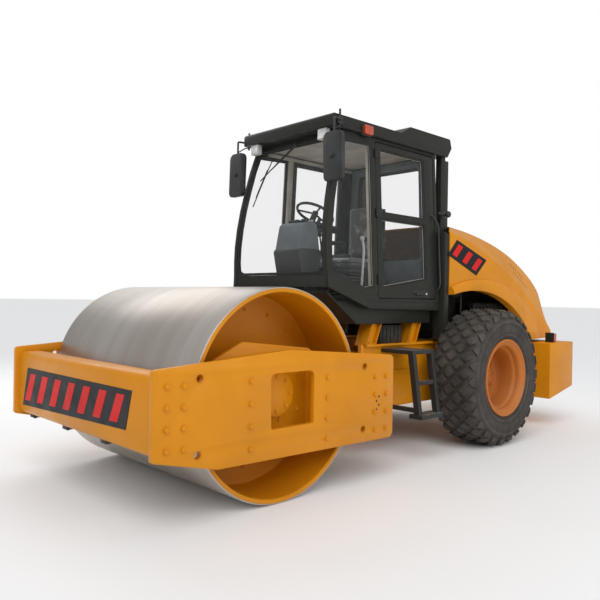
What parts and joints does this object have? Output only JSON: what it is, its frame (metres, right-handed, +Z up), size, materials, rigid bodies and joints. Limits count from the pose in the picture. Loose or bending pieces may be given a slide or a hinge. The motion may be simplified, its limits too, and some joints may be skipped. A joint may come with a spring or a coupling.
{
  "type": "road roller",
  "caption": "Articulated single-drum road roller with a smooth steel drum, a glazed cab, two rear tyres and a tilting bonnet, for compacting soil and road layers.",
  "frame": {"origin": "on the ground under the middle of the machine's length and width", "axes": "+Z up, -Y the way the machine drives, +X towards its left side"},
  "size_m": [2.424, 6.185, 3.255],
  "materials": {
    "yellow_paint": "semi-gloss yellow paint, dusty and chipped along edges",
    "black_paint": "satin black paint, worn grey where trodden",
    "rim_paint": "faded orange paint",
    "cab_grey": "dark grey-green cab paint, satin",
    "engine_black": "oily black",
    "steel": "rolled steel, polished and brushed round its circumference",
    "chrome": "hard chrome",
    "tyre": "dusty rubber",
    "cab_glass": "clear toughened glass",
    "console_plastic": "grained dark grey plastic",
    "seat_cloth": "dark woven cloth",
    "lamp_red": "orange-red lens",
    "lamp_clear": "clear lens"
  },
  "bodies": {
    "rear_frame": {"rear_frame": "yellow_paint", "rear_axle": "black_paint", "engine_block": "engine_black", "counterweight": "yellow_paint", "tail_lamp_left": "lamp_red", "tail_lamp_right": "lamp_red", "ladder_left": "black_paint", "ladder_right": "black_paint", "articulation_pin": "black_paint", "cab_frame": "cab_grey", "cab_floor": "cab_grey", "cab_roof": "cab_grey", "rear_post_left": "cab_grey", "rear_post_right": "cab_grey", "windscreen": "cab_glass", "quarter_pane_left": "cab_glass", "quarter_pane_right": "cab_glass", "rear_pane": "cab_glass", "steering_console": "console_plastic", "steering_wheel": "console_plastic", "seat_base": "cab_grey", "seat_cushion": "seat_cloth", "seat_back": "seat_cloth", "side_console": "console_plastic", "mirror_left": "black_paint", "mirror_right": "black_paint", "work_lamp_left": "lamp_clear", "work_lamp_right": "lamp_clear"},
    "hitch": {"centre_hitch": "yellow_paint"},
    "front_frame": {"side_plate_left": "yellow_paint", "side_plate_right": "yellow_paint", "front_beam": "yellow_paint", "rear_beam": "yellow_paint", "front_scraper": "black_paint", "rear_scraper": "black_paint", "drum_support_left": "yellow_paint", "drum_support_right": "yellow_paint", "swing_bearing": "yellow_paint"},
    "drum": {"drum": "steel"},
    "wheel_left": {"tyre_left": "tyre", "rim_left": "rim_paint"},
    "wheel_right": {"tyre_right": "tyre", "rim_right": "rim_paint"},
    "door_left": {"door_left": "cab_grey", "door_pane_left": "cab_glass"},
    "door_right": {"door_right": "cab_grey", "door_pane_right": "cab_glass"},
    "bonnet": {"bonnet": "yellow_paint"},
    "steering_barrel_left": {"steering_barrel_left": "black_paint"},
    "steering_barrel_right": {"steering_barrel_right": "black_paint"},
    "steering_rod_left": {"steering_rod_left": "chrome"},
    "steering_rod_right": {"steering_rod_right": "chrome"}
  },
  "joints": [
    {"name": "articulation", "type": "hinge", "parent": "rear_frame", "child": "hitch", "pos_m": [0, -0.4375, 0.74], "axis": [0, 0, 1], "range_deg": [-30, 30]},
    {"name": "frame_swing", "type": "hinge", "parent": "hitch", "child": "front_frame", "pos_m": [0, -0.4375, 0.74], "axis": [0, 1, 0], "range_deg": [-12, 12]},
    {"name": "drum_spin", "type": "hinge", "parent": "front_frame", "child": "drum", "pos_m": [0, -1.9575, 0.79874], "axis": [1, 0, 0], "continuous": true},
    {"name": "wheel_left_spin", "type": "hinge", "parent": "rear_frame", "child": "wheel_left", "pos_m": [0.94, 1.0925, 0.71726], "axis": [1, 0, 0], "continuous": true},
    {"name": "wheel_right_spin", "type": "hinge", "parent": "rear_frame", "child": "wheel_right", "pos_m": [-0.94, 1.0925, 0.71726], "axis": [1, 0, 0], "continuous": true},
    {"name": "door_left_swing", "type": "hinge", "parent": "rear_frame", "child": "door_left", "pos_m": [0.697, -0.3975, 1.41], "axis": [0.0541, 0, -0.9985], "range_deg": [0, 95]},
    {"name": "door_right_swing", "type": "hinge", "parent": "rear_frame", "child": "door_right", "pos_m": [-0.697, -0.3975, 1.41], "axis": [0.0541, 0, 0.9985], "range_deg": [0, 95]},
    {"name": "bonnet_tilt", "type": "hinge", "parent": "rear_frame", "child": "bonnet", "pos_m": [0, 3.0225, 1.09], "axis": [-1, 0, 0], "range_deg": [0, 45]},
    {"name": "steering_barrel_left_swing", "type": "hinge", "parent": "rear_frame", "child": "steering_barrel_left", "pos_m": [0.36, 0.1225, 0.7], "axis": [0, 0, 1], "range_deg": [-4, 4]},
    {"name": "steering_rod_left_slide", "type": "slide", "parent": "steering_barrel_left", "child": "steering_rod_left", "axis": [-0.1168, -0.9932, 0], "range_m": [-0.155, 0.155]},
    {"name": "steering_barrel_right_swing", "type": "hinge", "parent": "rear_frame", "child": "steering_barrel_right", "pos_m": [-0.36, 0.1225, 0.7], "axis": [0, 0, 1], "range_deg": [-4, 4]},
    {"name": "steering_rod_right_slide", "type": "slide", "parent": "steering_barrel_right", "child": "steering_rod_right", "axis": [0.1168, -0.9932, 0], "range_m": [-0.155, 0.155]}
  ],
  "couplings": [
    {"joint": "steering_barrel_left_swing", "follows": "articulation", "ratio": 0.1245},
    {"joint": "steering_barrel_right_swing", "follows": "articulation", "ratio": 0.1245},
    {"joint": "steering_rod_left_slide", "follows": "articulation", "m_per_rad": -0.287},
    {"joint": "steering_rod_right_slide", "follows": "articulation", "m_per_rad": 0.287}
  ]
}
